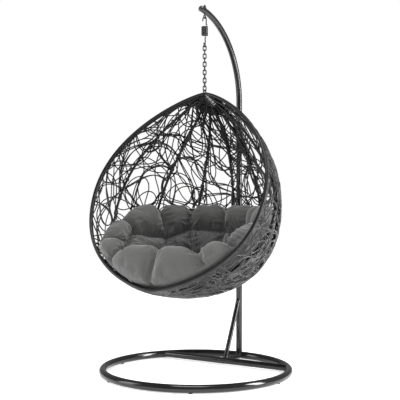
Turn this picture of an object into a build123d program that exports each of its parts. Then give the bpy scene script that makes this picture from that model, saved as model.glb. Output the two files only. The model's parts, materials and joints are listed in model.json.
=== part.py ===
from build123d import *
import os
from math import asin, cos, degrees, hypot, pi, radians, sin, sqrt

# A hanging egg chair on its own stand, in millimetres.  The origin is the centre of the floor
# ring on the floor, +Z is up, and the open front of the basket faces -Y.

# ---------------------------------------------------------------- driving dimensions
# Floor ring: a front and a rear arc of tube, joined by sleeves just in front of the cross bar
ring_outer_diameter = 1020
ring_tube_diameter = 40
tube_wall = 1.5
glide_thickness = 3          # rubber left under the lowest line of the tube
glide_count = 6
cross_bar_y = 287
cross_bar_diameter = 35
foot_bar_diameter = 30
sleeve_half_length = 45
seam_gap = 0.4

# Post and curved arm
post_y = 452
post_diameter = 35
post_top = 944
arm_diameter = 32
arm_bottom = 804
arm_bend_start = 1469        # height where the straight tube turns into the arc
arm_bend_radius = 468
arm_bend_angle = 81.6
brace_diameter = 25
brace_foot_y = 296
brace_top = 363
post_bolt_z = 204
brace_bolt_z = 335
arm_bolt_z = 880
bolt_diameter = 8
bolt_clearance = 0.1         # between a bolt and its hole, all round

# Suspension line: eye bolt, spring with its two hooks, chain
hang_y = 86
eye_center_z = 1894
eye_radius = 8.5             # to the middle of the wire
eye_wire = 6
hook_wire = 6.5
spring_top = 1846
spring_length = 54.6
spring_diameter = 36
spring_wire = 5
spring_pitch = 5.3
link_count = 11
link_pitch = 21.5
link_wire = 6
link_width = 22
first_link_z = 1726.4
lower_hook_turn = 105        # directions about the vertical, in degrees from +X
first_link_turn = 32
link_turn_step = 1.5         # each link hangs a little further round than the last
link_play = 0.3
hook_play = 0.4

# Basket: an egg whose long axis runs from the crown, under the chain, to the foot of the rim
crown = (86, 1482)           # (y, z)
foot = (-418, 476)
rim_diameter = 18
rib_diameter = 14
rib_count = 7
rib_spacing = 24.5           # degrees about the long axis
weave_outside = 6            # the weave lies between these two distances outside the frame line
weave_inside = 1
cap_height = 13              # woven solid cap at each end of the egg
cushion_thickness = 90
cushion_clearance = 3
cushion_overhang = 22        # how far the pad stands out in front of the rim

ring_radius = (ring_outer_diameter - ring_tube_diameter) / 2
ring_z = glide_thickness + ring_tube_diameter / 2
os.makedirs("parts", exist_ok=True)


def save(name, shape):
    """Write one sub-part, as its own solid or group of solids."""
    shape.label = name
    export_step(shape, f"parts/{name}.step")


# ---------------------------------------------------------------- tubes and fasteners
def straight_tube(start, end, diameter, wall=0.0):
    """A round bar, or a tube when it is given a wall, from one point to another."""
    start, end = Vector(*start), Vector(*end)
    plane = Plane(origin=start, z_dir=end - start)
    section = Circle(diameter / 2)
    if wall:
        section -= Circle(diameter / 2 - wall)
    return extrude(plane * section, (end - start).length)


def ring_arc(start_angle, end_angle, diameter, wall=0.0):
    """A stretch of the floor ring's tube between two angles about Z."""
    section = Circle(diameter / 2)
    if wall:
        section -= Circle(diameter / 2 - wall)
    placed = Plane.XZ * Pos(ring_radius, ring_z) * section
    return Rot(0, 0, start_angle) * revolve(placed, Axis.Z, end_angle - start_angle)


def hex_bolt(position, direction, grip):
    """A hex bolt lying along a direction, and the nut that closes it, as two solids."""
    across_flats = 13
    head_height = 5
    nut_height = 6.5
    plane = Plane(origin=position, z_dir=direction)
    hexagon = RegularPolygon(across_flats / 2, 6, major_radius=False)
    head = plane * extrude(hexagon, head_height)
    shank_radius = bolt_diameter / 2 - bolt_clearance
    shank = Cylinder(shank_radius, grip + nut_height, align=(Align.CENTER, Align.CENTER, Align.MIN))
    shank = plane * Pos(0, 0, -grip - nut_height) * shank
    bolt = head + shank
    ring = hexagon - Circle(bolt_diameter / 2)
    nut = plane * Pos(0, 0, -grip - nut_height) * extrude(ring, nut_height)
    return bolt, nut


def bolt_hole(position, direction, length):
    """The clearance hole for a bolt, centred on a point."""
    plane = Plane(origin=position, z_dir=direction)
    return plane * Cylinder(bolt_diameter / 2 + bolt_clearance, length)


# ---------------------------------------------------------------- floor ring
whole_ring = ring_arc(0, 360, ring_tube_diameter)
bar_end_angle = degrees(asin(cross_bar_y / ring_radius))
seam_before_bar = 8          # degrees from the cross bar's end to the seam in front of it
seam_angle = bar_end_angle - seam_before_bar
gap_angle = degrees(seam_gap / ring_radius)
sleeve_angle = degrees(sleeve_half_length / ring_radius)
screw_angle = sleeve_angle / 2
sleeve_diameter = ring_tube_diameter - 2 * tube_wall - 0.2


def ring_screw(angle, clearance=0.0):
    """A dome-headed screw through the inner side of the ring into the sleeve."""
    head_radius = 5
    head_height = 3
    head_seat = 1.6              # how far the head's middle stands off the tube's inner side
    shank_radius = 2.5
    shank_length = 10
    start = ring_radius - ring_tube_diameter / 2
    plane = Plane(origin=(start * cos(radians(angle)), start * sin(radians(angle)), ring_z),
                  z_dir=(cos(radians(angle)), sin(radians(angle)), 0))
    shank = plane * Cylinder(shank_radius + clearance, shank_length)
    if clearance:
        return shank
    head = plane * Pos(0, 0, -head_seat) * Cylinder(head_radius, head_height)
    return head - whole_ring + shank


seams = (seam_angle, 180 - seam_angle)
screw_angles = [seam + side * screw_angle for seam in seams for side in (-1, 1)]
screw_holes = [ring_screw(angle, bolt_clearance) for angle in screw_angles]
rear_arc = ring_arc(seam_angle + gap_angle, 180 - seam_angle - gap_angle, ring_tube_diameter, tube_wall)
front_arc = ring_arc(180 - seam_angle, 360 + seam_angle, ring_tube_diameter, tube_wall)
for hole in screw_holes:
    rear_arc -= hole
    front_arc -= hole
save("ring_rear_tube", rear_arc)
save("ring_front_tube", front_arc)

for side, seam in zip(("left", "right"), seams):
    sleeve = ring_arc(seam - sleeve_angle, seam + sleeve_angle, sleeve_diameter, tube_wall)
    for hole in screw_holes:
        sleeve -= hole
    save(f"ring_sleeve_{side}", sleeve)
save("ring_screws", Compound(children=[ring_screw(angle) for angle in screw_angles]))


def glide(angle):
    """A rubber pad with a hollow top that the ring's tube sits in."""
    pad_radius = 10
    lip_height = 3
    pad_height = glide_thickness + lip_height
    place = Pos(ring_radius * cos(radians(angle)), ring_radius * sin(radians(angle)), pad_height / 2)
    return place * Cylinder(pad_radius, pad_height) - whole_ring


save("floor_glides", Compound(children=[glide(360 / glide_count * i) for i in range(glide_count)]))

# ---------------------------------------------------------------- cross bar, foot bar, brace, spigot
cross_bar_line = ((-ring_radius, cross_bar_y, ring_z), (ring_radius, cross_bar_y, ring_z))
cross_bar_core = straight_tube(*cross_bar_line, cross_bar_diameter)
bar_half = sqrt(ring_radius ** 2 - cross_bar_y ** 2)
cross_bar = straight_tube((-bar_half, cross_bar_y, ring_z), (bar_half, cross_bar_y, ring_z),
                          cross_bar_diameter, tube_wall) - whole_ring
save("cross_bar", cross_bar)

foot_bar_start = (0, cross_bar_y, ring_z)
foot_bar_end = (0, ring_radius, ring_z)
foot_bar_core = straight_tube(foot_bar_start, foot_bar_end, foot_bar_diameter)
foot_bar = straight_tube(foot_bar_start, foot_bar_end, foot_bar_diameter, tube_wall)
save("foot_bar", foot_bar - whole_ring - cross_bar_core)

post_inner_diameter = arm_diameter + 0.2
post_wall = (post_diameter - post_inner_diameter) / 2
post_base = ring_z + 4       # the post's lower end is coped over the foot bar
post_core = straight_tube((0, post_y, 0), (0, post_y, post_top), post_diameter)
spigot_top = 262
spigot_wall = 2
spigot = straight_tube((0, post_y, post_base), (0, post_y, spigot_top), arm_diameter, spigot_wall)
spigot -= foot_bar_core
post = straight_tube((0, post_y, post_base), (0, post_y, post_top), post_diameter, post_wall)
post -= foot_bar_core

brace_line = ((0, brace_foot_y, ring_z), (0, post_y, brace_top))
brace = straight_tube(*brace_line, brace_diameter, tube_wall)
brace = brace - cross_bar_core - foot_bar_core - post_core

# ---------------------------------------------------------------- curved arm and its cap
arc_center_y = post_y - arm_bend_radius
arm_section = Circle(arm_diameter / 2) - Circle(arm_diameter / 2 - tube_wall)
arm_straight = Pos(0, post_y, arm_bottom) * extrude(arm_section, arm_bend_start - arm_bottom)
arm_arc_axis = Axis((0, arc_center_y, arm_bend_start), (1, 0, 0))
arm_arc = revolve(Pos(0, post_y, arm_bend_start) * arm_section, arm_arc_axis, arm_bend_angle)
arm_core = revolve(Pos(0, post_y, arm_bend_start) * Circle(arm_diameter / 2), arm_arc_axis, arm_bend_angle)
arm = arm_straight + arm_arc

tip_angle = radians(arm_bend_angle)
tip = (0, arc_center_y + arm_bend_radius * cos(tip_angle), arm_bend_start + arm_bend_radius * sin(tip_angle))
tip_plane = Plane(origin=tip, z_dir=(0, -sin(tip_angle), cos(tip_angle)))


def end_cap():
    """A domed plug that closes the tip of the arm."""
    rim_height = 3
    dome_height = 6
    plug_length = 16
    plug_clearance = 0.5
    radius = arm_diameter / 2
    sphere_radius = (radius ** 2 + dome_height ** 2) / (2 * dome_height)
    dome = Pos(0, 0, rim_height + dome_height - sphere_radius) * Sphere(sphere_radius)
    dome &= Pos(0, 0, rim_height + dome_height) * Cylinder(radius, 2 * dome_height)
    rim = Pos(0, 0, rim_height / 2) * Cylinder(radius, rim_height)
    plug = Pos(0, 0, -plug_length / 2) * Cylinder(radius - tube_wall - plug_clearance, plug_length)
    return tip_plane * (dome + rim + plug)


save("arm_end_cap", end_cap())

# ---------------------------------------------------------------- bolts that hold the stand together
post_bolt, post_nut = hex_bolt((0, post_y - post_diameter / 2, post_bolt_z), (0, -1, 0), post_diameter)
arm_bolt, arm_nut = hex_bolt((post_diameter / 2, post_y, arm_bolt_z), (1, 0, 0), post_diameter)
brace_grip = post_diameter + 6       # the brace's slanting end is deeper than its nut
through_post = 60
brace_bolt, brace_nut = hex_bolt((0, post_y + post_diameter / 2, brace_bolt_z), (0, 1, 0), brace_grip)
post_hole = bolt_hole((0, post_y, post_bolt_z), (0, 1, 0), through_post)
arm_hole = bolt_hole((0, post_y, arm_bolt_z), (1, 0, 0), through_post)
brace_hole = bolt_hole((0, post_y, brace_bolt_z), (0, 1, 0), 2 * brace_grip)
save("lower_post", post - post_hole - arm_hole - brace_hole)
save("post_spigot", spigot - post_hole)
save("diagonal_brace", brace - brace_hole - brace_nut)
save("post_bolt", post_bolt)
save("post_bolt_nut", post_nut)
save("arm_bolt", arm_bolt)
save("arm_bolt_nut", arm_nut)
save("brace_bolt", brace_bolt)
save("brace_bolt_nut", brace_nut)

# ---------------------------------------------------------------- eye bolt in the arm
arm_z_at_hang = arm_bend_start + sqrt(arm_bend_radius ** 2 - (hang_y - arc_center_y) ** 2)
saddle_rise = 4              # height of the saddle's flat top above the arm
saddle_radius = 9
saddle_top = arm_z_at_hang + arm_diameter / 2 + saddle_rise
nut_height = 7
eye_shank_radius = bolt_diameter / 2
eye_hole = Pos(0, hang_y, arm_z_at_hang) * Cylinder(eye_shank_radius + bolt_clearance, 2 * through_post)
save("upper_arm", arm - arm_hole - eye_hole)

eye_ring_top = eye_center_z + eye_radius
shank_length = saddle_top + nut_height - eye_ring_top
eye_shank = Pos(0, hang_y, eye_ring_top + shank_length / 2) * Cylinder(eye_shank_radius, shank_length)
eye_ring = Pos(0, hang_y, eye_center_z) * Rot(0, 90, 0) * Torus(eye_radius, eye_wire / 2)
save("eye_bolt", eye_shank + eye_ring)

saddle_blank_height = 10
saddle = Pos(0, hang_y, saddle_top - saddle_blank_height / 2) * Cylinder(saddle_radius, saddle_blank_height)
save("eye_bolt_saddle", saddle - arm_core - eye_hole)


def acorn_nut():
    """A hexagon nut with a domed top that covers the end of the eye bolt."""
    across_flats = 13
    dome_radius = 5.5
    bore_clearance = 0.05
    hexagon = extrude(RegularPolygon(across_flats / 2, 6, major_radius=False), nut_height)
    upper_half = Pos(0, 0, dome_radius) * Box(*[2 * dome_radius] * 3)
    dome = Pos(0, 0, nut_height) * (Sphere(dome_radius) & upper_half)
    bore = Cylinder(eye_shank_radius + bore_clearance, nut_height, align=(Align.CENTER, Align.CENTER, Align.MIN))
    return Pos(0, hang_y, saddle_top) * (hexagon + dome - bore)


save("eye_bolt_nut", acorn_nut())

# ---------------------------------------------------------------- spring and its hooks
hook_half_width = 10
hook_corner_radii = (4.5, 9.9, 9.2)      # from the coil to the tail


def spring_hook(length):
    """A long wire hook that rises from the end of the coil; its bend is `length` above z = 0."""
    foot_z = hook_wire / 2 + hook_play
    tail_drop = 21
    tail_flare = 2
    coil_line = (spring_diameter - spring_wire) / 2
    corners = [(coil_line, 0, foot_z), (hook_half_width, 0, foot_z),
               (hook_half_width, 0, length), (-hook_half_width, 0, length),
               (-hook_half_width - tail_flare, 0, length - tail_drop)]
    path = FilletPolyline(*corners, radius=list(hook_corner_radii))
    start = Plane(origin=path @ 0, z_dir=path % 0)
    return sweep(start * Circle(hook_wire / 2), path=path)


def hang(angle, z):
    """A place on the suspension line, turned about the vertical."""
    return Pos(0, hang_y, z) * Rot(0, 0, angle)


upper_bend_z = eye_center_z - eye_radius + eye_wire / 2 + hook_play + hook_wire / 2
link_inner_length = link_pitch + link_play
lower_bend_z = first_link_z + link_inner_length / 2 - hook_play - hook_wire / 2
spring_bottom = spring_top - spring_length
save("spring_upper_hook", hang(0, spring_top) * spring_hook(upper_bend_z - spring_top))
save("spring_lower_hook",
     hang(lower_hook_turn, spring_bottom) * Rot(180, 0, 0) * spring_hook(spring_bottom - lower_bend_z))

coil_radius = (spring_diameter - spring_wire) / 2
coil_path = Helix(spring_pitch, spring_length - spring_wire, coil_radius)
coil_start = Plane(origin=coil_path @ 0, z_dir=coil_path % 0)
coil = sweep(coil_start * Circle(spring_wire / 2), path=coil_path, is_frenet=True)
save("spring_coil", hang(0, spring_bottom + spring_wire / 2) * coil)

# ---------------------------------------------------------------- chain
link_bend_radius = (link_width - link_wire) / 2
link_straight = link_inner_length + link_wire - 2 * link_bend_radius


def chain_link():
    """A short welded link, standing upright in the XZ plane with its middle at the origin."""
    leg = Pos(link_bend_radius, 0, 0) * Cylinder(link_wire / 2, link_straight)
    section = Plane.XY * Pos(link_bend_radius, 0) * Circle(link_wire / 2)
    bend = Pos(0, 0, link_straight / 2) * revolve(section, Axis.Y, -180)
    half = leg + bend
    return half + Rot(0, 180, 0) * half


for number in range(1, link_count + 1):
    steps = number - 1
    turn = first_link_turn + steps * (90 - link_turn_step)
    z = first_link_z - steps * link_pitch
    save(f"chain_link_{number:02d}", hang(turn, z) * chain_link())

# ---------------------------------------------------------------- shape of the egg
# Any point of the basket is a distance `a` down the long axis from the crown, and within that
# cross-section a half-ellipse: half-width to each side, depth to the back.  Two Bezier curves end
# to end give each of them; `t` runs from 0 at the crown to 1 at the foot.
axis_length = hypot(crown[0] - foot[0], crown[1] - foot[1])
down = ((foot[0] - crown[0]) / axis_length, (foot[1] - crown[1]) / axis_length)
back = (-down[1], down[0])
axis_controls = [f * axis_length for f in (0, 0, 0.20, 0.54, 0.90, 1, 1)]
half_width_controls = (0, 75, 522, 522, 522, 90, 0)
depth_controls = (0, 245, 575, 628, 685, 45, 0)
rim_bow_controls = (0, 0, -43, -15, 12, 0, 0)       # how far the rim bows to the back


def bezier(controls, t):
    """Value and slope of the two-part curve at t."""
    start = 0 if t < 0.5 else 3
    p0, p1, p2, p3 = controls[start:start + 4]
    u = 2 * t if t < 0.5 else 2 * t - 1
    value = (1 - u) ** 3 * p0 + 3 * (1 - u) ** 2 * u * p1 + 3 * (1 - u) * u ** 2 * p2 + u ** 3 * p3
    slope = 3 * (1 - u) ** 2 * (p1 - p0) + 6 * (1 - u) * u * (p2 - p1) + 3 * u ** 2 * (p3 - p2)
    return value, slope


def offset_profile(controls, t, offset):
    """(distance down the axis, width) of the profile, moved outwards by the offset."""
    a, a_slope = bezier(axis_controls, t)
    w, w_slope = bezier(controls, t)
    steepness = hypot(a_slope, w_slope)
    return a - offset * w_slope / steepness, w + offset * a_slope / steepness


def width_at(controls, a, offset=0.0):
    """Width of the offset profile in the cross-section at distance `a` down the axis."""
    low, high = 1e-6, 1 - 1e-6
    for _ in range(50):
        middle = (low + high) / 2
        if offset_profile(controls, middle, offset)[0] < a:
            low = middle
        else:
            high = middle
    return offset_profile(controls, low, offset)[1]


def egg_point(a, x, depth):
    """The point `x` sideways and `depth` behind the long axis, in the part's frame."""
    return (x, crown[0] + a * down[0] + depth * back[0], crown[1] + a * down[1] + depth * back[1])


def frame_point(t, angle, offset=0.0):
    """A point on the frame line at an angle round the back: 0 and 180 degrees are the rim."""
    a = bezier(axis_controls, t)[0]
    bow = bezier(rim_bow_controls, t)[0]
    x = -width_at(half_width_controls, a, offset) * cos(radians(angle))
    depth = width_at(depth_controls, a, offset) * sin(radians(angle))
    return egg_point(a, x, depth + bow)


def egg_section(a, offset, front):
    """The half-ellipse at distance `a`, closed by a straight edge `front` behind the rim.

    A negative `front` carries the sides straight on, out through the opening.
    """
    low, high = 1e-6, 1 - 1e-6
    for _ in range(50):
        t = (low + high) / 2
        low, high = (t, high) if bezier(axis_controls, t)[0] < a else (low, t)
    bow = bezier(rim_bow_controls, low)[0]
    half_width = width_at(half_width_controls, a, offset)
    depth = width_at(depth_controls, a, offset)
    plane = Plane(origin=egg_point(a, 0, bow), x_dir=(1, 0, 0), z_dir=(0, -down[0], -down[1]))
    cut_angle = degrees(asin(max(front, 0) / depth))
    arc = EllipticalCenterArc((0, 0), half_width, depth, start_angle=cut_angle, arc_size=180 - 2 * cut_angle)
    if front < 0:
        edge = Polyline(arc @ 1, (-half_width, front), (half_width, front), arc @ 0)
    else:
        edge = Line(arc @ 1, arc @ 0)
    return plane * make_face([arc, *edge.edges()])


def egg_solid(from_a, to_a, offset, front, sections=13):
    """A solid half-egg between two cross-sections, spaced closer together near the ends."""
    middle = (from_a + to_a) / 2
    reach = (to_a - from_a) / 2
    places = [middle - reach * cos(pi * i / (sections - 1)) for i in range(sections)]
    return loft([egg_section(a, offset, front) for a in places])


# ---------------------------------------------------------------- basket frame
rim_radius = rim_diameter / 2


def half_rim():
    """The right-hand half of the rim, from the crown to the foot."""
    corners = [egg_point(a, x, bow) for a, x, bow
               in zip(axis_controls, half_width_controls, rim_bow_controls)]
    path = Wire([Bezier(*corners[:4]), Bezier(*corners[3:])])
    start = Plane(origin=path @ 0, z_dir=path % 0)
    return sweep(start * Circle(rim_radius), path=path)


right_half = half_rim()
save("rim_hoop", right_half + mirror(right_half, Plane.YZ))

rib_depth = rib_diameter / 2     # the ribs run just inside the frame line
rib_start_t = 0.09
rib_end_t = 0.885
rib_points = 13
for number in range(1, rib_count + 1):
    angle = 90 + (number - (rib_count + 1) / 2) * rib_spacing
    stops = [rib_start_t + (rib_end_t - rib_start_t) * i / (rib_points - 1) for i in range(rib_points)]
    rib_path = Spline(*[frame_point(t, angle, -rib_depth) for t in stops])
    rib_start = Plane(origin=rib_path @ 0, z_dir=rib_path % 0)
    save(f"rib_{number}", sweep(rib_start * Circle(rib_diameter / 2), path=rib_path))

# The chain hangs from a wire arch that stands over the rim, welded to both of its sides
eye_wire_radius = eye_wire / 2
arch_gap = 0.5               # between the arch and the rim that it stands over
weld_depth = 4               # how far its legs reach past the rim's middle
arch_radius = rim_radius + eye_wire_radius + arch_gap
last_link_z = first_link_z - (link_count - 1) * link_pitch
arch_top_z = last_link_z - link_inner_length / 2 + hook_play + eye_wire_radius
arch_z = arch_top_z - arch_radius
arch_leg_end = crown[1] - weld_depth


def crown_arch(wire_radius):
    """The arch's half ring and its two legs, for a given radius of wire."""
    section = Plane.XY * Pos(0, arch_radius) * Circle(wire_radius)
    ring = Pos(0, hang_y, arch_z) * revolve(section, Axis.X, 180)
    legs = [straight_tube((0, hang_y + side * arch_radius, arch_leg_end),
                          (0, hang_y + side * arch_radius, arch_z), 2 * wire_radius) for side in (-1, 1)]
    return ring + legs[0] + legs[1]


save("crown_eye", crown_arch(eye_wire_radius))
crown_eye_room = crown_arch(eye_wire_radius + 0.2)

# ---------------------------------------------------------------- weave and end caps
weave_front = rim_radius + 1.2       # the weave starts just behind the rim
cap_gap = 0.4
cap_tip = 1.5                # the caps stop this far short of the axis' ends
cap_sections = 4
past_the_cut = 40            # the inner egg reaches past the outer one where it is cut away
foot_cap_start = axis_length - cap_height
outer_egg = egg_solid(cap_height + cap_gap, foot_cap_start - cap_gap, weave_outside, weave_front)
inner_egg = egg_solid(cap_height - 1, foot_cap_start + 1, weave_inside, -past_the_cut)
save("wicker_shell", outer_egg - inner_egg)

crown_cap = egg_solid(cap_tip, cap_height, weave_outside, weave_front, cap_sections)
save("crown_cap", crown_cap - crown_eye_room)
save("foot_cap", egg_solid(foot_cap_start, axis_length - cap_tip, weave_outside, weave_front, cap_sections))

# ---------------------------------------------------------------- cushion
# A thick pad bent up round the bottom of the egg: it fills the egg up to a plane that rises to the
# back and then runs level, except for the hollow that a person sits in.
pad_outside = -(rib_diameter + cushion_clearance)
pad_inside = pad_outside - cushion_thickness
pad_plane_point = (0, -310, 690)
pad_plane_rise = 24          # degrees
pad_back_top = 855           # the pad's back edge is level from here on
pad_start = 330              # distances down the egg's axis, from the crown
pad_end = axis_length - 32
lip_start = axis_length - 200        # the pad's front lip lies between the hollow and the foot
hollow_start = pad_start - 100
pad_fill = egg_solid(pad_start, pad_end, pad_outside, -cushion_overhang)
pad_hollow = egg_solid(hollow_start, lip_start, pad_inside, -cushion_thickness)
room_above = Box(2000, 2000, 1000, align=(Align.CENTER, Align.CENTER, Align.MIN))
above_pad = Pos(*pad_plane_point) * Rot(pad_plane_rise, 0, 0) * room_above
above_back = Pos(0, 0, pad_back_top) * room_above
save("cushion", pad_fill - pad_hollow - above_pad - above_back)
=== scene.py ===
import json
import math

import bpy
import numpy as np
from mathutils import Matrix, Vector
from mathutils.bvhtree import BVHTree


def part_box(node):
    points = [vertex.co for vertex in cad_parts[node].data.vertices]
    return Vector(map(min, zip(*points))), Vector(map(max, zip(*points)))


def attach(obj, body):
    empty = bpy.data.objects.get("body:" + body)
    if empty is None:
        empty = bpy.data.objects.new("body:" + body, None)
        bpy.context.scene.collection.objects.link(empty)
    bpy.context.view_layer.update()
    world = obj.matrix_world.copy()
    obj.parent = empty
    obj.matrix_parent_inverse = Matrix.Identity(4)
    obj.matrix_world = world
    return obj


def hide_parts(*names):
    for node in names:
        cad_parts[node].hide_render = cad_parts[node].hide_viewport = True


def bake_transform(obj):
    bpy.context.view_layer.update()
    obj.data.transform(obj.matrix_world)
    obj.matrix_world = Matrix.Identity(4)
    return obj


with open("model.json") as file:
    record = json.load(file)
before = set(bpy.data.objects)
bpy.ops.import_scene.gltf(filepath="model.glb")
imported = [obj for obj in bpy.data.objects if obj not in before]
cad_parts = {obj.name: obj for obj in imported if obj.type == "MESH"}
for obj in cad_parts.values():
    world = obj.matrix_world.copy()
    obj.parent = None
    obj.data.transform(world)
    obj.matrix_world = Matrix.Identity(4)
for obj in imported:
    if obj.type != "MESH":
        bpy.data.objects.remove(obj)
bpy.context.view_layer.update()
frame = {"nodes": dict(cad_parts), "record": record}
random = np.random.default_rng(7)

# ---------------------------------------------------------------- places taken from the frame
BASKET = "basket"
coil_low, coil_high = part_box("spring_coil")
hang_x, hang_y = (coil_low.x + coil_high.x) / 2, (coil_low.y + coil_high.y) / 2


# ---------------------------------------------------------------- camera
camera_place = (2.618, -4.030, 0.955)
camera_tilt = 89.53          # degrees up from straight down
camera_turn = 32.75          # degrees about the vertical
camera_lens = 82.0           # millimetres, on a sensor 36 wide


def add_camera():
    """Nearly level, seen from the front and the object's own +X side."""
    data = bpy.data.cameras.new("camera")
    data.sensor_width = 36
    data.lens = camera_lens
    camera = bpy.data.objects.new("camera", data)
    camera.location = camera_place
    camera.rotation_euler = (math.radians(camera_tilt), 0, math.radians(camera_turn))
    bpy.context.scene.collection.objects.link(camera)
    bpy.context.scene.camera = camera


add_camera()


# ---------------------------------------------------------------- studio
seen_brightness = 1.0        # of the world where the camera sees it
felt_brightness = 0.26       # of the world where it lights the object
floor_white = 0.9
floor_glow = 0.58


def aim_light(light, place, target):
    """Puts a light at its place, shining at a target."""
    light.location = place
    light.rotation_euler = (Vector(target) - Vector(place)).to_track_quat("-Z", "Y").to_euler()
    bpy.context.scene.collection.objects.link(light)


def area_light(name, place, target, size, power):
    """A soft rectangular lamp, sized in metres and powered in watts."""
    data = bpy.data.lights.new(name, "AREA")
    data.shape = "RECTANGLE"
    data.size, data.size_y = size
    data.energy = power
    light = bpy.data.objects.new(name, data)
    aim_light(light, place, target)
    return light


def sun_light(name, place, target, softness, power):
    """An even light over the whole floor, with soft-edged shadows."""
    data = bpy.data.lights.new(name, "SUN")
    data.energy = power
    data.angle = math.radians(softness)
    light = bpy.data.objects.new(name, data)
    aim_light(light, place, target)


def add_world():
    """White to look at, but a dim grey to the object, so that gloss black stays black."""
    world = bpy.data.worlds.new("studio")
    world.use_nodes = True
    tree = world.node_tree
    seen = tree.nodes["Background"]
    seen.inputs["Color"].default_value = (1, 1, 1, 1)
    seen.inputs["Strength"].default_value = seen_brightness
    dim = tree.nodes.new("ShaderNodeBackground")
    dim.inputs["Color"].default_value = (1, 1, 1, 1)
    dim.inputs["Strength"].default_value = felt_brightness
    rays = tree.nodes.new("ShaderNodeLightPath")
    mix = tree.nodes.new("ShaderNodeMixShader")
    tree.links.new(rays.outputs["Is Camera Ray"], mix.inputs["Fac"])
    tree.links.new(dim.outputs["Background"], mix.inputs[1])
    tree.links.new(seen.outputs["Background"], mix.inputs[2])
    tree.links.new(mix.outputs["Shader"], tree.nodes["World Output"].inputs["Surface"])
    bpy.context.scene.world = world
    bpy.context.scene.view_settings.view_transform = "Standard"


def add_floor():
    """A white floor that glows a little, so that it has no horizon and only pale shadows."""
    bpy.ops.mesh.primitive_plane_add(size=60)
    floor = bpy.context.object
    floor.name = "floor"
    material = bpy.data.materials.new("floor")
    material.use_nodes = True
    shader = material.node_tree.nodes["Principled BSDF"]
    shader.inputs["Base Color"].default_value = (floor_white, floor_white, floor_white, 1)
    shader.inputs["Roughness"].default_value = 1.0
    shader.inputs["Specular IOR Level"].default_value = 0.0
    shader.inputs["Emission Color"].default_value = (1, 1, 1, 1)
    shader.inputs["Emission Strength"].default_value = floor_glow
    floor.data.materials.append(material)


def add_studio():
    """Soft light from above and in front, and upright strips that streak the gloss tubes."""
    add_world()
    add_floor()
    middle = (0, 0, 0.9)
    sun_light("sun", (3.4, 2.0, 4.4), middle, 16, 1.0)
    area_light("top", (0.4, -1.1, 4.2), middle, (2.0, 2.0), 85)
    area_light("strip_right", (3.9, 1.2, 1.9), middle, (0.9, 3.0), 230)
    area_light("wide_left", (-3.2, -2.6, 1.6), middle, (1.6, 3.0), 65)
    fill = area_light("fill", (1.6, -4.4, 2.6), middle, (2.4, 2.4), 75)
    fill.visible_glossy = False


add_studio()


# ---------------------------------------------------------------- material building blocks
class Nodes:
    """A Principled material whose colour, roughness and bump come from texture nodes."""

    def __init__(self, name, **constants):
        self.material = bpy.data.materials.new(name)
        self.material.use_nodes = True
        self.tree = self.material.node_tree
        self.shader = self.tree.nodes["Principled BSDF"]
        for socket, value in constants.items():
            self.shader.inputs[socket.replace("_", " ")].default_value = value

    def add(self, kind, inputs=(), **settings):
        node = self.tree.nodes.new("ShaderNode" + kind)
        for key, value in settings.items():
            setattr(node, key, value)
        for socket, value in dict(inputs).items():
            if isinstance(value, bpy.types.NodeSocket):
                self.tree.links.new(value, node.inputs[socket])
            else:
                node.inputs[socket].default_value = value
        return node

    def place(self, source="Object", scale=(1, 1, 1)):
        """Texture coordinates in metres, or along a strand's own UV map, stretched by a scale."""
        if source == "Object":
            vector = self.add("TexCoord").outputs["Object"]
        else:
            vector = self.add("UVMap", uv_map=source).outputs["UV"]
        return self.add("Mapping", {"Vector": vector, "Scale": scale}).outputs["Vector"]

    def noise(self, vector, scale, detail=3.0, roughness=0.5):
        return self.add("TexNoise", {"Vector": vector, "Scale": scale, "Detail": detail,
                                     "Roughness": roughness}).outputs["Fac"]

    def spread(self, value, low, high, to_low, to_high):
        """A value stretched from one range to another, and kept inside it."""
        return self.add("MapRange", {"Value": value, "From Min": low, "From Max": high,
                                     "To Min": to_low, "To Max": to_high}).outputs["Result"]

    def blend(self, factor, first, second):
        node = self.add("Mix", data_type="RGBA")
        self.tree.links.new(factor, node.inputs["Factor"])
        for socket, value in ((node.inputs[6], first), (node.inputs[7], second)):
            if isinstance(value, bpy.types.NodeSocket):
                self.tree.links.new(value, socket)
            else:
                socket.default_value = (*value, 1)
        return node.outputs[2]

    def math(self, operation, first, second=0.0):
        node = self.add("Math", operation=operation)
        for socket, value in zip(node.inputs, (first, second)):
            if isinstance(value, bpy.types.NodeSocket):
                self.tree.links.new(value, socket)
            else:
                socket.default_value = value
        return node.outputs[0]

    def bump(self, height, strength, distance, under=None):
        inputs = {"Height": height, "Strength": strength, "Distance": distance}
        if under:
            inputs["Normal"] = under
        return self.add("Bump", inputs).outputs["Normal"]

    def connect(self, **sockets):
        for socket, value in sockets.items():
            self.tree.links.new(value, self.shader.inputs[socket.replace("_", " ")])
        return self.material


# ---------------------------------------------------------------- materials
def coated_steel(name, colour, worn, roughness, gleam, peel):
    """Powder coat: slight orange peel, cloudy gloss, and faint scuffs that catch the light."""
    nodes = Nodes(name, Specular_IOR_Level=gleam)
    place = nodes.place()
    clouds = nodes.noise(place, 9)
    scuffs = nodes.spread(nodes.noise(place, 55, 8, 0.7), 0.60, 0.78, 0, 1)
    grain = nodes.noise(place, 700, 2)
    base = nodes.blend(clouds, colour, [c * 1.5 for c in colour])
    base = nodes.blend(scuffs, base, worn)
    gloss = nodes.math("ADD", nodes.spread(clouds, 0.3, 0.7, roughness, roughness + 0.07),
                       nodes.math("MULTIPLY", scuffs, 0.16))
    return nodes.connect(Base_Color=base, Roughness=gloss, Normal=nodes.bump(grain, peel, 0.0004))


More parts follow.
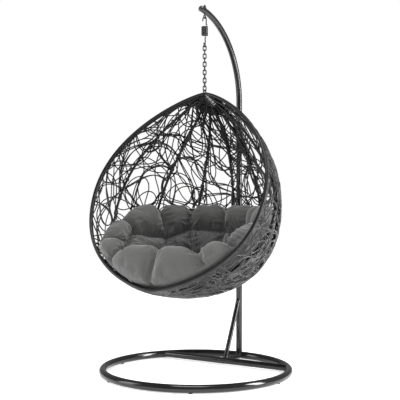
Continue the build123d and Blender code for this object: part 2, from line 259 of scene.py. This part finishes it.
def strand_plastic():
    """Extruded plastic strand: fine lengthwise grooves, and a slightly different grey each time."""
    nodes = Nodes("strand_plastic", Specular_IOR_Level=0.5)
    place = nodes.place("strand", (14, 30, 1))
    grooves = nodes.noise(place, 2.0, 2)
    shade = nodes.add("Attribute", attribute_name="shade").outputs["Fac"]
    dirt = nodes.noise(nodes.place(), 30, 4)
    base = nodes.blend(shade, (0.005, 0.005, 0.0052), (0.016, 0.016, 0.0165))
    base = nodes.blend(nodes.spread(dirt, 0.45, 0.8, 0, 0.4), base, (0.030, 0.0295, 0.028))
    rough = nodes.spread(grooves, 0.3, 0.7, 0.24, 0.38)
    return nodes.connect(Base_Color=base, Roughness=rough, Normal=nodes.bump(grooves, 0.5, 0.0004))


def cushion_cloth():
    """Plain-woven polyester: crossing threads about 1.5 mm apart, slubs and a soft sheen."""
    nodes = Nodes("cushion_cloth", Sheen_Weight=0.35, Sheen_Roughness=0.5, Specular_IOR_Level=0.25)
    thread = 1400.0
    threads = []
    for axis, other in ((0, 1), (1, 0)):
        split = nodes.add("SeparateXYZ", {"Vector": nodes.place("cloth")})
        along = nodes.math("SINE", nodes.math("MULTIPLY", split.outputs[axis], thread))
        step = nodes.math("MULTIPLY", split.outputs[other], thread / 2)
        threads.append(nodes.math("MULTIPLY", nodes.math("ABSOLUTE", along),
                                  nodes.math("ABSOLUTE", nodes.math("SINE", step))))
    weave = nodes.math("MAXIMUM", *threads)
    slubs = nodes.noise(nodes.place("cloth", (1, 6, 1)), 90, 5, 0.6)
    clouds = nodes.noise(nodes.place(), 4, 3)
    base = nodes.blend(clouds, (0.070, 0.070, 0.069), (0.096, 0.0955, 0.093))
    base = nodes.blend(nodes.spread(weave, 0, 1, 0, 0.35), base, (0.125, 0.1245, 0.122))
    base = nodes.blend(nodes.spread(slubs, 0.35, 0.75, 0.3, 0), base, (0.050, 0.050, 0.0495))
    creased = nodes.bump(nodes.noise(nodes.place(), 60, 5, 0.55), 0.25, 0.003)
    rough = nodes.spread(slubs, 0.3, 0.7, 0.82, 0.97)
    return nodes.connect(Base_Color=base, Roughness=rough, Normal=nodes.bump(weave, 0.35, 0.0005, creased))


def rubber():
    """Dull black rubber with a little dust in its grain."""
    nodes = Nodes("rubber")
    grain = nodes.noise(nodes.place(), 400, 4)
    dust = nodes.noise(nodes.place(), 40, 5)
    base = nodes.blend(nodes.spread(dust, 0.4, 0.7, 0, 1), (0.016, 0.016, 0.016), (0.05, 0.048, 0.045))
    rough = nodes.spread(grain, 0.3, 0.7, 0.7, 0.9)
    return nodes.connect(Base_Color=base, Roughness=rough, Normal=nodes.bump(grain, 0.4, 0.0006))


def moulded_plastic():
    """Smooth black plastic with a thin gloss coat."""
    nodes = Nodes("moulded_plastic", Coat_Weight=0.2)
    grain = nodes.noise(nodes.place(), 500, 3)
    base = nodes.blend(nodes.noise(nodes.place(), 25), (0.014, 0.014, 0.015), (0.026, 0.026, 0.027))
    rough = nodes.spread(grain, 0.3, 0.7, 0.24, 0.36)
    return nodes.connect(Base_Color=base, Roughness=rough, Normal=nodes.bump(grain, 0.15, 0.0004))


stand_paint = coated_steel("stand_paint", (0.006, 0.006, 0.0065), (0.02, 0.02, 0.02), 0.10, 0.5, 0.02)
dark_steel = coated_steel("dark_steel", (0.012, 0.012, 0.013), (0.06, 0.06, 0.06), 0.24, 0.4, 0.16)
fastener_steel = coated_steel("fastener_steel", (0.020, 0.020, 0.021), (0.10, 0.10, 0.10), 0.28, 0.45, 0.18)
frame_paint = coated_steel("frame_paint", (0.007, 0.007, 0.0075), (0.025, 0.025, 0.025), 0.28, 0.3, 0.16)
wicker = strand_plastic()
cloth = cushion_cloth()

slot_materials = {
    "stand_paint": stand_paint,
    "black_steel": dark_steel,
    "fasteners": fastener_steel,
    "basket_frame": frame_paint,
    "wicker": wicker,
    "cushion_fabric": cloth,
    "rubber_pads": rubber(),
    "cap_plastic": moulded_plastic(),
}


def paint_cad_nodes():
    """Every CAD node shows the material that its slot in the record stands for."""
    for part in frame["record"]["subparts"]:
        node = frame["nodes"][part["node"]]
        node.data.materials.clear()
        node.data.materials.append(slot_materials[part["material_slot"]])


paint_cad_nodes()


# ---------------------------------------------------------------- tubes
def tube_mesh(name, lines, radius, sides):
    """One mesh of round tubes along lines of points, with a `strand` UV map and a grey per line."""
    rings, uvs, faces, shades = [], [], [], []
    corner = 2 * np.pi * np.arange(sides) / sides
    start = 0
    for points in lines:
        points = np.asarray(points, float)
        count = len(points)
        ahead = np.gradient(points, axis=0)
        ahead /= np.linalg.norm(ahead, axis=1)[:, None]
        side = np.cross(ahead[0], (0.3, 0.5, 0.8))
        across = np.empty_like(points)
        for i, direction in enumerate(ahead):
            side = side - direction * side.dot(direction)
            side /= np.linalg.norm(side)
            across[i] = side
        up = np.cross(ahead, across)
        ring = (points[:, None] + radius * (np.cos(corner)[None, :, None] * across[:, None]
                                            + np.sin(corner)[None, :, None] * up[:, None]))
        rings.append(ring.reshape(-1, 3))
        lengths = np.concatenate([[0], np.cumsum(np.linalg.norm(np.diff(points, axis=0), axis=1))])
        for i in range(count - 1):
            here, there = start + i * sides, start + (i + 1) * sides
            along = lengths[i], lengths[i + 1]
            for k in range(sides):
                following = (k + 1) % sides
                faces.append((here + k, here + following, there + following, there + k))
                u, v = k / sides, (k + 1) / sides
                uvs.append(((u, along[0]), (v, along[0]), (v, along[1]), (u, along[1])))
        faces.append(tuple(start + k for k in reversed(range(sides))))
        faces.append(tuple(start + (count - 1) * sides + k for k in range(sides)))
        uvs.extend([tuple((k / sides, 0) for k in range(sides))] * 2)
        shades.append(np.full(count * sides, random.random()))
        start += count * sides
    mesh = bpy.data.meshes.new(name)
    mesh.from_pydata(np.concatenate(rings), [], faces)
    layer = mesh.uv_layers.new(name="strand")
    layer.data.foreach_set("uv", np.array([uv for face in uvs for uv in face], np.float32).ravel())
    mesh.attributes.new("shade", "FLOAT", "POINT").data.foreach_set(
        "value", np.concatenate(shades).astype(np.float32))
    mesh.polygons.foreach_set("use_smooth", [True] * len(mesh.polygons))
    piece = bpy.data.objects.new(name, mesh)
    bpy.context.scene.collection.objects.link(piece)
    return piece


# ---------------------------------------------------------------- the egg that the strands lie on
# The basket is an egg about the line from the crown to the foot of its rim.  These are the
# driving dimensions of the CAD egg, in metres; a check below holds them to the CAD shell's box.
crown = np.array((0, 0.086, 1.482))
foot = np.array((0, -0.418, 0.476))
egg_length = float(np.linalg.norm(foot - crown))
down = (foot - crown) / egg_length
back = np.array((0, -down[2], down[1]))
axis_controls = egg_length * np.array((0, 0, 0.20, 0.54, 0.90, 1, 1))
half_width_controls = np.array((0, 75, 522, 522, 522, 90, 0)) / 1000
depth_controls = np.array((0, 245, 575, 628, 685, 45, 0)) / 1000
bow_controls = np.array((0, 0, -43, -15, 12, 0, 0)) / 1000
rib_spacing = 24.5           # degrees round the egg
rib_angles = [90 + step * rib_spacing for step in range(-3, 4)]
end_margin = 0.012           # the strands stay this far from the two ends of the egg
cad_match = 0.012            # how far the egg and the CAD shell may differ


def two_part_bezier(controls, t):
    """Two cubic Bezier curves end to end through seven controls, with t from 0 to 1 over both."""
    late = t >= 0.5
    u = np.where(late, 2 * t - 1, 2 * t)
    p = [np.where(late, controls[i + 3], controls[i]) for i in range(4)]
    return (1 - u) ** 3 * p[0] + 3 * (1 - u) ** 2 * u * p[1] + 3 * (1 - u) * u ** 2 * p[2] + u ** 3 * p[3]


profile_t = np.linspace(0, 1, 800)
profile_a = two_part_bezier(axis_controls, profile_t)
profile_width = two_part_bezier(half_width_controls, profile_t)
profile_depth = two_part_bezier(depth_controls, profile_t)
profile_bow = two_part_bezier(bow_controls, profile_t)


def egg_section(a):
    """Half width, depth and bow of the egg's cross-section at a distance down its axis."""
    return (np.interp(a, profile_a, profile_width), np.interp(a, profile_a, profile_depth),
            np.interp(a, profile_a, profile_bow))


def egg_coordinates(points):
    """(distance down the axis, sideways, behind the axis) of points in the row frame."""
    away = np.asarray(points, float) - crown
    return away @ down, away[:, 0], away @ back


def egg_place(a, angle, offset=0.0):
    """Points on the egg: 0 degrees is the rim at -X, 90 the middle of the back, 180 the rim at +X."""
    a, angle = np.broadcast_arrays(np.asarray(a, float), np.radians(np.asarray(angle, float)))
    width, depth, bow = egg_section(a)
    sideways = -(width + offset) * np.cos(angle)
    behind = (depth + offset) * np.sin(angle) + bow
    return (crown + a[..., None] * down + behind[..., None] * back
            + sideways[..., None] * np.array((1.0, 0, 0)))


def onto_egg(points, offset):
    """The points moved out or in, within their cross-section, to lie an offset outside the egg."""
    a, sideways, behind = egg_coordinates(points)
    a = np.clip(a, end_margin, egg_length - end_margin)
    width, depth, bow = egg_section(a)
    behind = np.maximum(behind - bow, 0.0)
    angle = np.degrees(np.arctan2(behind / depth, -sideways / width))
    slope = np.gradient(profile_width, profile_a)
    lean = np.interp(a, profile_a, np.clip(slope, -6, 6))
    return egg_place(a, angle, np.asarray(offset) * np.sqrt(1 + lean ** 2))


def egg_normals(points):
    """Roughly outward directions at points of the egg."""
    way = onto_egg(points, 0.01) - onto_egg(points, 0.0)
    return way / np.maximum(np.linalg.norm(way, axis=1), 1e-9)[:, None]


def egg_tree():
    """A search tree over the egg's surface."""
    rows, columns = 120, 100
    a = np.linspace(0.004, egg_length - 0.004, rows)[:, None]
    points = egg_place(a, np.linspace(0, 180, columns)).reshape(-1, 3)
    faces = [(r * columns + c, r * columns + c + 1, (r + 1) * columns + c + 1, (r + 1) * columns + c)
             for r in range(rows - 1) for c in range(columns - 1)]
    return BVHTree.FromPolygons([tuple(point) for point in points], faces)


def hold_egg_to_cad():
    """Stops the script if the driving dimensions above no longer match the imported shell."""
    low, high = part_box("wicker_shell")
    a = np.linspace(0.02, egg_length - 0.02, 90)[:, None]
    places = egg_place(a, np.linspace(1, 179, 90), 0.006)
    for axis in range(3):
        line = places[..., axis]
        for found, packed in ((line.min(), low[axis]), (line.max(), high[axis])):
            if abs(found - packed) > cad_match:
                raise ValueError(f"the egg and the CAD shell differ on axis {axis}: {found} and {packed}")


hold_egg_to_cad()

# ---------------------------------------------------------------- random weave
strand_radius = 0.0033
strand_sides = 6
strand_step = 0.009          # between the points along a strand
shortest_strand = 7          # points
weave_length = 190           # metres of roaming strand
weave_bundles = 5
tie_reach = 0.007            # a strand this close to a rib or the rim is tied to it
end_turn = 0.5               # how hard a strand is turned back at every step near an edge
rim_zone = 0.030             # a strand is turned back this near the rim
end_zone = 0.035             # and this near the crown or the foot
turning_zone = 0.030         # over which the turning grows to its full strength
laid_height = 0.0034         # of a strand's middle over the egg
laid_wave = 0.00294          # how far it rises and falls, so that strands cross over each other
edge_strand_rows = (0.011, 0.0147, 0.0184)      # behind the rim's plane
edge_strand_height = 0.003
winding_rise = 0.0044        # between the turns of a winding
winding_reach = 0.10         # how far a winding goes from its end of the egg


def egg_walks(starts, headings, curls, lengths):
    """Strands that run over the egg side by side, each steered by its own changing curl.

    `curls` gives the turn per metre at every step.  A strand that comes to the rim or to an end of
    the egg is turned back.
    """
    here, heading = onto_egg(starts, 0.0), headings
    track = [here]
    for curl in curls.T:
        normal = egg_normals(here)
        heading = heading + np.cross(normal, heading) * (curl * strand_step)[:, None]
        a, _, behind = egg_coordinates(here)
        behind = behind - np.interp(a, profile_a, profile_bow)
        near_rim = np.clip((rim_zone - behind) / turning_zone, 0, 1)
        near_crown = np.clip((end_zone - a) / turning_zone, 0, 1)
        near_foot = np.clip((a - egg_length + end_zone) / turning_zone, 0, 1)
        heading = heading + back * near_rim[:, None] * end_turn
        heading = heading + down * near_crown[:, None] * end_turn
        heading = heading - down * near_foot[:, None] * end_turn
        heading = heading - normal * np.sum(heading * normal, axis=1)[:, None]
        heading /= np.linalg.norm(heading, axis=1)[:, None]
        here = onto_egg(here + heading * strand_step, 0.0)
        track.append(here)
    track = np.array(track).transpose(1, 0, 2)
    return [line[:max(6, int(length / strand_step))] for line, length in zip(track, lengths)]


def smooth_noise(rows, steps, wavelength):
    """Random values between -1 and 1 that change smoothly along each row."""
    phase = np.arange(steps) * strand_step * 2 * np.pi / wavelength
    waves = []
    for scale in (1.0, 1.7, 0.43):
        waves.append(np.sin(phase * scale + random.uniform(0, 2 * np.pi, (rows, 1))))
    return sum(waves) / len(waves)


def spread_starts(count):
    """Places spread evenly over the egg's surface."""
    share = np.cumsum((profile_width[1:] + profile_depth[1:])
                      * np.hypot(np.diff(profile_a), np.diff(profile_width)))
    a = np.interp((np.arange(count) + random.random(count)) / count * share[-1], share, profile_a[1:])
    return egg_place(a, random.permutation(np.linspace(4, 176, count)))


def tie_to_frame(line):
    """The stretch of a strand between the first and the last place where it meets a rib or the rim."""
    a, sideways, behind = egg_coordinates(line)
    width, depth, bow = egg_section(a)
    angle = np.degrees(np.arctan2((behind - bow) / depth, -sideways / width))
    frame_angles = np.array([0, *rib_angles, 180])
    apart = np.abs(angle[:, None] - frame_angles).min(axis=1)
    tied = np.flatnonzero(np.radians(apart) * np.minimum(width, depth) < tie_reach)
    return line[tied[0]:tied[-1] + 1] if len(tied) else line[:0]


def lay_on_egg(lines):
    """The strands at slowly changing heights over the egg, so that they pass over each other."""
    laid = []
    for line in lines:
        wave = smooth_noise(1, len(line), random.uniform(0.15, 0.5))[0]
        height = laid_height + laid_wave * wave
        laid.append(onto_egg(line, height))
    return laid


def roaming_strands(count, steps, companions):
    """Long strands in loops and sweeping arcs, each with companions that drift to its side."""
    starts = spread_starts(count)
    headings = random.normal(size=(count, 3))
    tightness = random.uniform(8, 30, (count, 1))
    curls = tightness * smooth_noise(count, steps, 0.42) + random.uniform(-9, 9, (count, 1))
    lines = egg_walks(starts, headings, curls, np.full(count, steps * strand_step))
    lines_beside = []
    for line in lines:
        ahead = np.gradient(line, axis=0)
        side = np.cross(egg_normals(line), ahead)
        side /= np.linalg.norm(side, axis=1)[:, None]
        for _ in range(companions):
            drift = 0.015 * smooth_noise(1, len(line), random.uniform(0.35, 0.8))[0]
            lines_beside.append(onto_egg(line + side * drift[:, None], 0.0))
    return lines + lines_beside


def star_strands(stars, rays):
    """Short arcs that cross at one place, like spokes, at every star."""
    centres = np.repeat(spread_starts(stars), rays, axis=0)
    count = len(centres)
    steps = 26
    headings = random.normal(size=(count, 3))
    curls = np.repeat(random.uniform(-7, 7, (count, 1)), steps, axis=1)
    centres = centres + random.normal(size=(count, 3)) * 0.006
    lengths = random.uniform(0.10, steps * strand_step, count)
    forward = egg_walks(centres, headings, curls, lengths)
    backward = egg_walks(centres, -headings, curls * -0.6, lengths[::-1])
    return [np.vstack([second[:0:-1], first]) for first, second in zip(forward, backward)]


def long_enough(lines):
    """The strands tied to the frame, without the scraps."""
    return [line for line in map(tie_to_frame, lines) if len(line) >= shortest_strand]


def basket_piece(name, lines, radius=strand_radius):
    """A bundle of strands that rides on the basket."""
    piece = tube_mesh(name, lines, radius, strand_sides)
    piece.data.materials.append(wicker)
    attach(piece, BASKET)
    return piece


def even_choice(lines, total_length):
    """Strands picked one after another, each the one of a few that runs through the emptiest cells."""
    cell = 0.034
    tries = 7
    used = {}
    waiting = list(range(len(lines)))
    picked, length = [], 0.0
    while length < total_length and waiting:
        offered = random.choice(len(waiting), min(tries, len(waiting)), replace=False)
        crowding = []
        for index in offered:
            cells = map(tuple, np.round(lines[waiting[index]] / cell).astype(int))
            crowding.append(np.mean([used.get(key, 0) for key in cells]))
        chosen = lines[waiting.pop(offered[int(np.argmin(crowding))])]
        for key in map(tuple, np.round(chosen / cell).astype(int)):
            used[key] = used.get(key, 0) + 1
        picked.append(chosen)
        length += len(chosen) * strand_step
    return picked


def add_weave():
    """The open weave of roaming strands and stars, in bundles of their own."""
    roaming = long_enough(roaming_strands(170, 150, 1))
    strands = even_choice(roaming, weave_length)
    stars = long_enough(star_strands(11, 9))
    lines = lay_on_egg(strands + stars)
    for number in range(1, weave_bundles + 1):
        piece = basket_piece(f"weave_{number}", lines[number - 1::weave_bundles])
        if number == 1:
            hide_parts("wicker_shell")


def add_edge_strands():
    """Strands that run along the back of the rim and finish the weave's edge."""
    a = np.linspace(end_margin, egg_length - end_margin, 150)
    depth = np.interp(a, profile_a, profile_depth)
    lines = []
    for behind in edge_strand_rows:
        angle = np.degrees(np.arcsin(np.clip(behind / depth, 0, 0.9)))
        ripple = edge_strand_height + 0.0008 * np.sin(a * 40 + behind * 900)
        lines += [egg_place(a, angle, ripple), egg_place(a, 180 - angle, ripple)]
    basket_piece("edge_strands", lines)


def add_winding(name, from_foot, node):
    """Close turns that cover an end of the egg, from one side of the rim to the other and back."""
    run = np.concatenate([[0], np.cumsum(np.hypot(np.diff(profile_a), np.diff(profile_width)))])
    places = np.arange(0.003, winding_reach, winding_rise)
    stops = np.interp(run[-1] - places if from_foot else places, run, profile_a)
    line = []
    for turn, a in enumerate(stops):
        angles = np.linspace(8, 172, 40)
        if turn % 2:
            angles = angles[::-1]
        line.append(egg_place(a, angles, 0.0035 + 0.0006 * (turn % 3)))
    piece = basket_piece(name, [np.vstack(line)], radius=0.0025)
    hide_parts(node)


def add_rib_ties():
    """Short coils where strands are tied round the ribs."""
    lines = []
    rib_middle, coil_radius, rise = -0.007, 0.0088, 0.0044
    for angle in rib_angles:
        for a in np.sort(random.uniform(0.10, egg_length - 0.12, 15)):
            here, ahead = egg_place([a, a + 0.004], angle, rib_middle)
            along = (ahead - here) / np.linalg.norm(ahead - here)
            side = np.cross(along, (1.0, 0.2, 0.1))
            side /= np.linalg.norm(side)
            up = np.cross(along, side)
            turns = random.integers(2, 6)
            turn = np.linspace(0, 2 * np.pi * turns, 10 * turns + 1)[:, None]
            lines.append(here + coil_radius * (np.cos(turn) * side + np.sin(turn) * up)
                         + along * turn / (2 * np.pi) * rise)
    basket_piece("rib_ties", lines)


add_weave()
add_edge_strands()
add_winding("crown_winding", False, "crown_cap")
add_winding("foot_winding", True, "foot_cap")
add_rib_ties()


# ---------------------------------------------------------------- spring coil
def add_coil():
    """The close-wound coil, which stretches between its two hooks."""
    wire = 0.005
    pitch = 0.0053
    outer = coil_high.x - coil_low.x
    height = coil_high.z - coil_low.z - wire
    turns = height / pitch
    turn = np.linspace(0, 2 * np.pi * turns, int(28 * turns))
    radius = (outer - wire) / 2
    line = np.stack([hang_x + radius * np.cos(turn), hang_y + radius * np.sin(turn),
                     coil_low.z + wire / 2 + height * turn / turn[-1]], 1)
    coil = tube_mesh("coil", [line], wire / 2, 14)
    coil.data.materials.append(dark_steel)
    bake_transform(coil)
    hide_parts("spring_coil")


add_coil()

# ---------------------------------------------------------------- cushion
# The pad is tufted: threads pull it down at the tufts, creases join neighbouring tufts and run out
# to its edge, and the lobes between them stand up.  A tuft is given by the direction in which a
# sitter would look at it: degrees round from the front towards +X, and degrees up from straight down.
sitter = np.array((0, -0.10, 0.80))
pad_voxel = 0.009            # size of the remeshed pad's faces
crease_depth = 0.050
lobe_height = 0.078          # of a lobe's top over the creases
lobe_reach = 0.075           # from a crease to the full height of a lobe
tuft_depth = 0.012           # of a tuft below its creases
tuft_reach = 0.03
growth_limit = 0.022         # how far the air pressure may move the cloth
cloth_frames = 20
pleat_length = 0.027         # from one pleat to the next along a crease
pleat_height = 0.0032
pleat_offset = 0.028         # where the pleats are highest, beside the crease
pleat_reach = 0.024
fold_height = 0.0036         # of the folds that fan out from a tuft
folds_round_tuft = 11
middle_tufts = {"bottom": (0, 8), "notch": (0, 78), "heel": (180, 52), "spine": (180, 81),
                "edge_spine": (180, 112)}
mirrored_tufts = {"lip": (47, 64), "edge_lip": (41, 48), "corner": (66, 77), "edge_corner": (72, 95),
                  "side": (70, 62), "wing": (97, 80), "edge_wing": (92, 103), "near": (126, 59),
                  "back": (131, 75), "edge_back": (124, 106), "deep": (153, 65), "rear": (151, 83),
                  "edge_rear": (152, 112)}
creases = [("bottom", "notch"), ("lip", "edge_lip"), ("lip", "side"), ("lip", "bottom"),
           ("side", "corner"), ("corner", "edge_corner"), ("side", "wing"), ("wing", "edge_wing"),
           ("side", "near"), ("near", "bottom"), ("near", "back"), ("back", "wing"),
           ("back", "edge_back"), ("near", "deep"), ("deep", "heel"), ("heel", "bottom"),
           ("deep", "rear"), ("rear", "back"), ("rear", "edge_rear"), ("rear", "spine"),
           ("heel", "spine"), ("spine", "edge_spine")]


def look(around, up, side):
    """The direction in which a sitter sees a tuft, on the +X side or the -X side."""
    around, up = math.radians(around), math.radians(up)
    out = math.sin(up)
    return np.array((side * out * math.sin(around), -out * math.cos(around), -math.cos(up)))


def crease_network():
    """The direction of every tuft, and every crease as a pair of directions, on both sides."""
    places, lines = {}, []
    for side in (-1, 1):
        for name, (around, up) in {**middle_tufts, **mirrored_tufts}.items():
            places[name, side] = look(around, up, side)
        lines += [(places[a, side], places[b, side]) for a, b in creases]
    return list(places.values()), lines


def nearest_crease(points, lines):
    """For each point, how far the nearest crease is, and how far along that crease it lies."""
    away = points - sitter
    far = np.linalg.norm(away, axis=1)
    away /= far[:, None]
    best = np.full(len(points), 9.0)
    along = np.zeros(len(points))
    for start, end in lines:
        way = end - start
        t = np.clip((away - start) @ way / way.dot(way), 0, 1)
        spot = start + t[:, None] * way
        spot /= np.linalg.norm(spot, axis=1)[:, None]
        gap = np.linalg.norm(away - spot, axis=1) * far
        nearer = gap < best
        best[nearer] = gap[nearer]
        along[nearer] = (t * np.linalg.norm(way) * far)[nearer]
    return best, along


def height_over_basket(points):
    """How far points stand inside the egg's surface."""
    tree = egg_tree()
    return np.array([tree.find_nearest(tuple(point))[3] for point in points])


def read_vertices(mesh, field="co"):
    """The places of a mesh's vertices, or with field "normal" their normals."""
    values = np.empty(len(mesh.vertices) * 3, np.float32)
    mesh.vertices.foreach_get(field, values)
    return values.reshape(-1, 3).astype(float)


def set_vertices(mesh, points):
    """Moves a mesh's vertices to the points."""
    mesh.vertices.foreach_set("co", points.astype(np.float32).ravel())
    mesh.update()


def relax(mesh, rounds, strength=0.5):
    """Laplacian smoothing, which rounds the edges off."""
    points = read_vertices(mesh)
    edges = np.empty(len(mesh.edges) * 2, np.int32)
    mesh.edges.foreach_get("vertices", edges)
    first, second = edges.reshape(-1, 2).T
    share = np.bincount(np.concatenate([first, second]), minlength=len(points))[:, None]
    for _ in range(rounds):
        total = np.zeros_like(points)
        np.add.at(total, first, points[second])
        np.add.at(total, second, points[first])
        points += strength * (total / share - points)
    set_vertices(mesh, points)


def apply_modifiers(piece):
    """Makes a piece's modifiers part of its mesh."""
    bpy.context.view_layer.objects.active = piece
    for modifier in list(piece.modifiers):
        bpy.ops.object.modifier_apply(modifier=modifier.name)


def pad_blank():
    """The CAD pad, remeshed evenly and with its edges rounded."""
    mesh = frame["nodes"]["cushion"].data.copy()
    pad = bpy.data.objects.new("seat_pad", mesh)
    bpy.context.scene.collection.objects.link(pad)
    remesh = pad.modifiers.new("remesh", "REMESH")
    remesh.mode = "VOXEL"
    remesh.voxel_size = pad_voxel
    apply_modifiers(pad)
    relax(pad.data, 14)
    return pad


def smooth_step(values, low, high):
    """0 below the low value, 1 above the high one, and a smooth rise between."""
    t = np.clip((values - low) / (high - low), 0, 1)
    return t * t * (3 - 2 * t)


def off_tuft(points, place):
    """From the line in which the sitter sees a tuft to each point."""
    away = points - sitter
    return away - np.linalg.norm(away, axis=1)[:, None] * place


def tuft_pad(pad, places, lines):
    """Presses the creases and tufts in, and leaves round lobes between them."""
    points = read_vertices(pad.data)
    normals = read_vertices(pad.data, "normal")
    free = smooth_step(height_over_basket(points), 0.024, 0.062)
    gap, _ = nearest_crease(points, lines)
    lobe = np.sqrt(1 - (1 - np.clip(gap / lobe_reach, 0, 1)) ** 2)
    tuft = np.min([np.linalg.norm(off_tuft(points, place), axis=1) for place in places], axis=0)
    move = -crease_depth + lobe_height * lobe - tuft_depth * np.exp(-(tuft / tuft_reach) ** 2)
    set_vertices(pad.data, points + normals * (free * move)[:, None])
    relax(pad.data, 2, 0.3)
    return gap, free


def inflate(pad, gap, free):
    """Cloth under pressure, held at the creases and against the basket, grows the wrinkles."""
    held = pad.vertex_groups.new(name="held")
    hold = np.maximum(1 - smooth_step(gap, 0.004, 0.016), 1 - smooth_step(free, 0.05, 0.5))
    for index, weight in enumerate(hold):
        held.add([index], float(weight), "REPLACE")
    before = read_vertices(pad.data)
    cloth_modifier = pad.modifiers.new("cloth", "CLOTH")
    settings = cloth_modifier.settings
    settings.quality = 5
    settings.mass = 0.25
    settings.tension_stiffness = 12
    settings.compression_stiffness = 6
    settings.shear_stiffness = 5
    settings.bending_stiffness = 0.25
    settings.use_pressure = True
    settings.uniform_pressure_force = 4
    settings.shrink_min = -0.09
    settings.vertex_group_mass = "held"
    settings.effector_weights.gravity = 0
    cloth_modifier.collision_settings.use_collision = False
    scene = bpy.context.scene
    for number in range(1, cloth_frames + 1):
        scene.frame_set(number)
    scene.frame_set(cloth_frames)
    final = pad.evaluated_get(bpy.context.evaluated_depsgraph_get())
    after = read_vertices(final.data)
    pad.modifiers.remove(cloth_modifier)
    scene.frame_set(1)
    move = after - before
    length = np.maximum(np.linalg.norm(move, axis=1), 1e-9)
    set_vertices(pad.data, before + move * (np.minimum(length, growth_limit) / length)[:, None])


def crumple(pad, places, lines):
    """Fine pleats across the creases and folds that fan out from the tufts."""
    points = read_vertices(pad.data)
    normals = read_vertices(pad.data, "normal")
    free = smooth_step(height_over_basket(points), 0.03, 0.07)
    gap, along = nearest_crease(points, lines)
    drift = 2 * np.sin(points @ np.array((9.0, -14.0, 21.0)))
    patch = 0.5 + 0.5 * np.sin(points @ np.array((23.0, 31.0, 17.0)) + drift)
    ripple = np.sin(along * 2 * np.pi / pleat_length + 3 * np.sin(gap * 40))
    pleats = ripple * np.exp(-((gap - pleat_offset) / pleat_reach) ** 2)
    move = pleat_height * pleats * patch
    for place in places:
        away = off_tuft(points, place)
        far = np.linalg.norm(away, axis=1)
        close = far < 0.12
        side = np.cross(place, (0.3, 0.9, 0.2))
        side /= np.linalg.norm(side)
        angle = np.arctan2(away[close] @ np.cross(place, side), away[close] @ side)
        fade = np.exp(-((far[close] - 0.030) / 0.028) ** 2)
        wander = 2.2 * np.sin(angle * 3 + place[0] * 30)
        move[close] += fold_height * fade * np.sin(angle * folds_round_tuft + wander)
    set_vertices(pad.data, points + normals * (free * move)[:, None])


def cloth_uv(mesh):
    """A UV map in metres that spreads out evenly from the bottom of the seat."""
    points = read_vertices(mesh)
    away = points - sitter
    far = np.linalg.norm(away, axis=1)
    up = np.arccos(np.clip(-away[:, 2] / far, -1, 1)) * 0.42
    around = np.arctan2(away[:, 0], -away[:, 1])
    flat = np.stack([up * np.sin(around), up * np.cos(around) + far * 0.5], 1)
    corners = np.empty(len(mesh.loops), np.int32)
    mesh.loops.foreach_get("vertex_index", corners)
    mesh.uv_layers.new(name="cloth").data.foreach_set("uv", flat[corners].astype(np.float32).ravel())


def add_cushion():
    """The tufted pad, from the CAD pad: pressed into lobes, inflated as cloth, then wrinkled."""
    pad = pad_blank()
    places, lines = crease_network()
    gap, free = tuft_pad(pad, places, lines)
    inflate(pad, gap, free)
    relax(pad.data, 1, 0.3)
    subdivide = pad.modifiers.new("subdivide", "SUBSURF")
    subdivide.levels = subdivide.render_levels = 1
    apply_modifiers(pad)
    crumple(pad, places, lines)
    pad.vertex_groups.clear()
    pad.data.materials.clear()
    pad.data.materials.append(cloth)
    pad.data.polygons.foreach_set("use_smooth", [True] * len(pad.data.polygons))
    cloth_uv(pad.data)
    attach(pad, BASKET)
    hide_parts("cushion")


add_cushion()
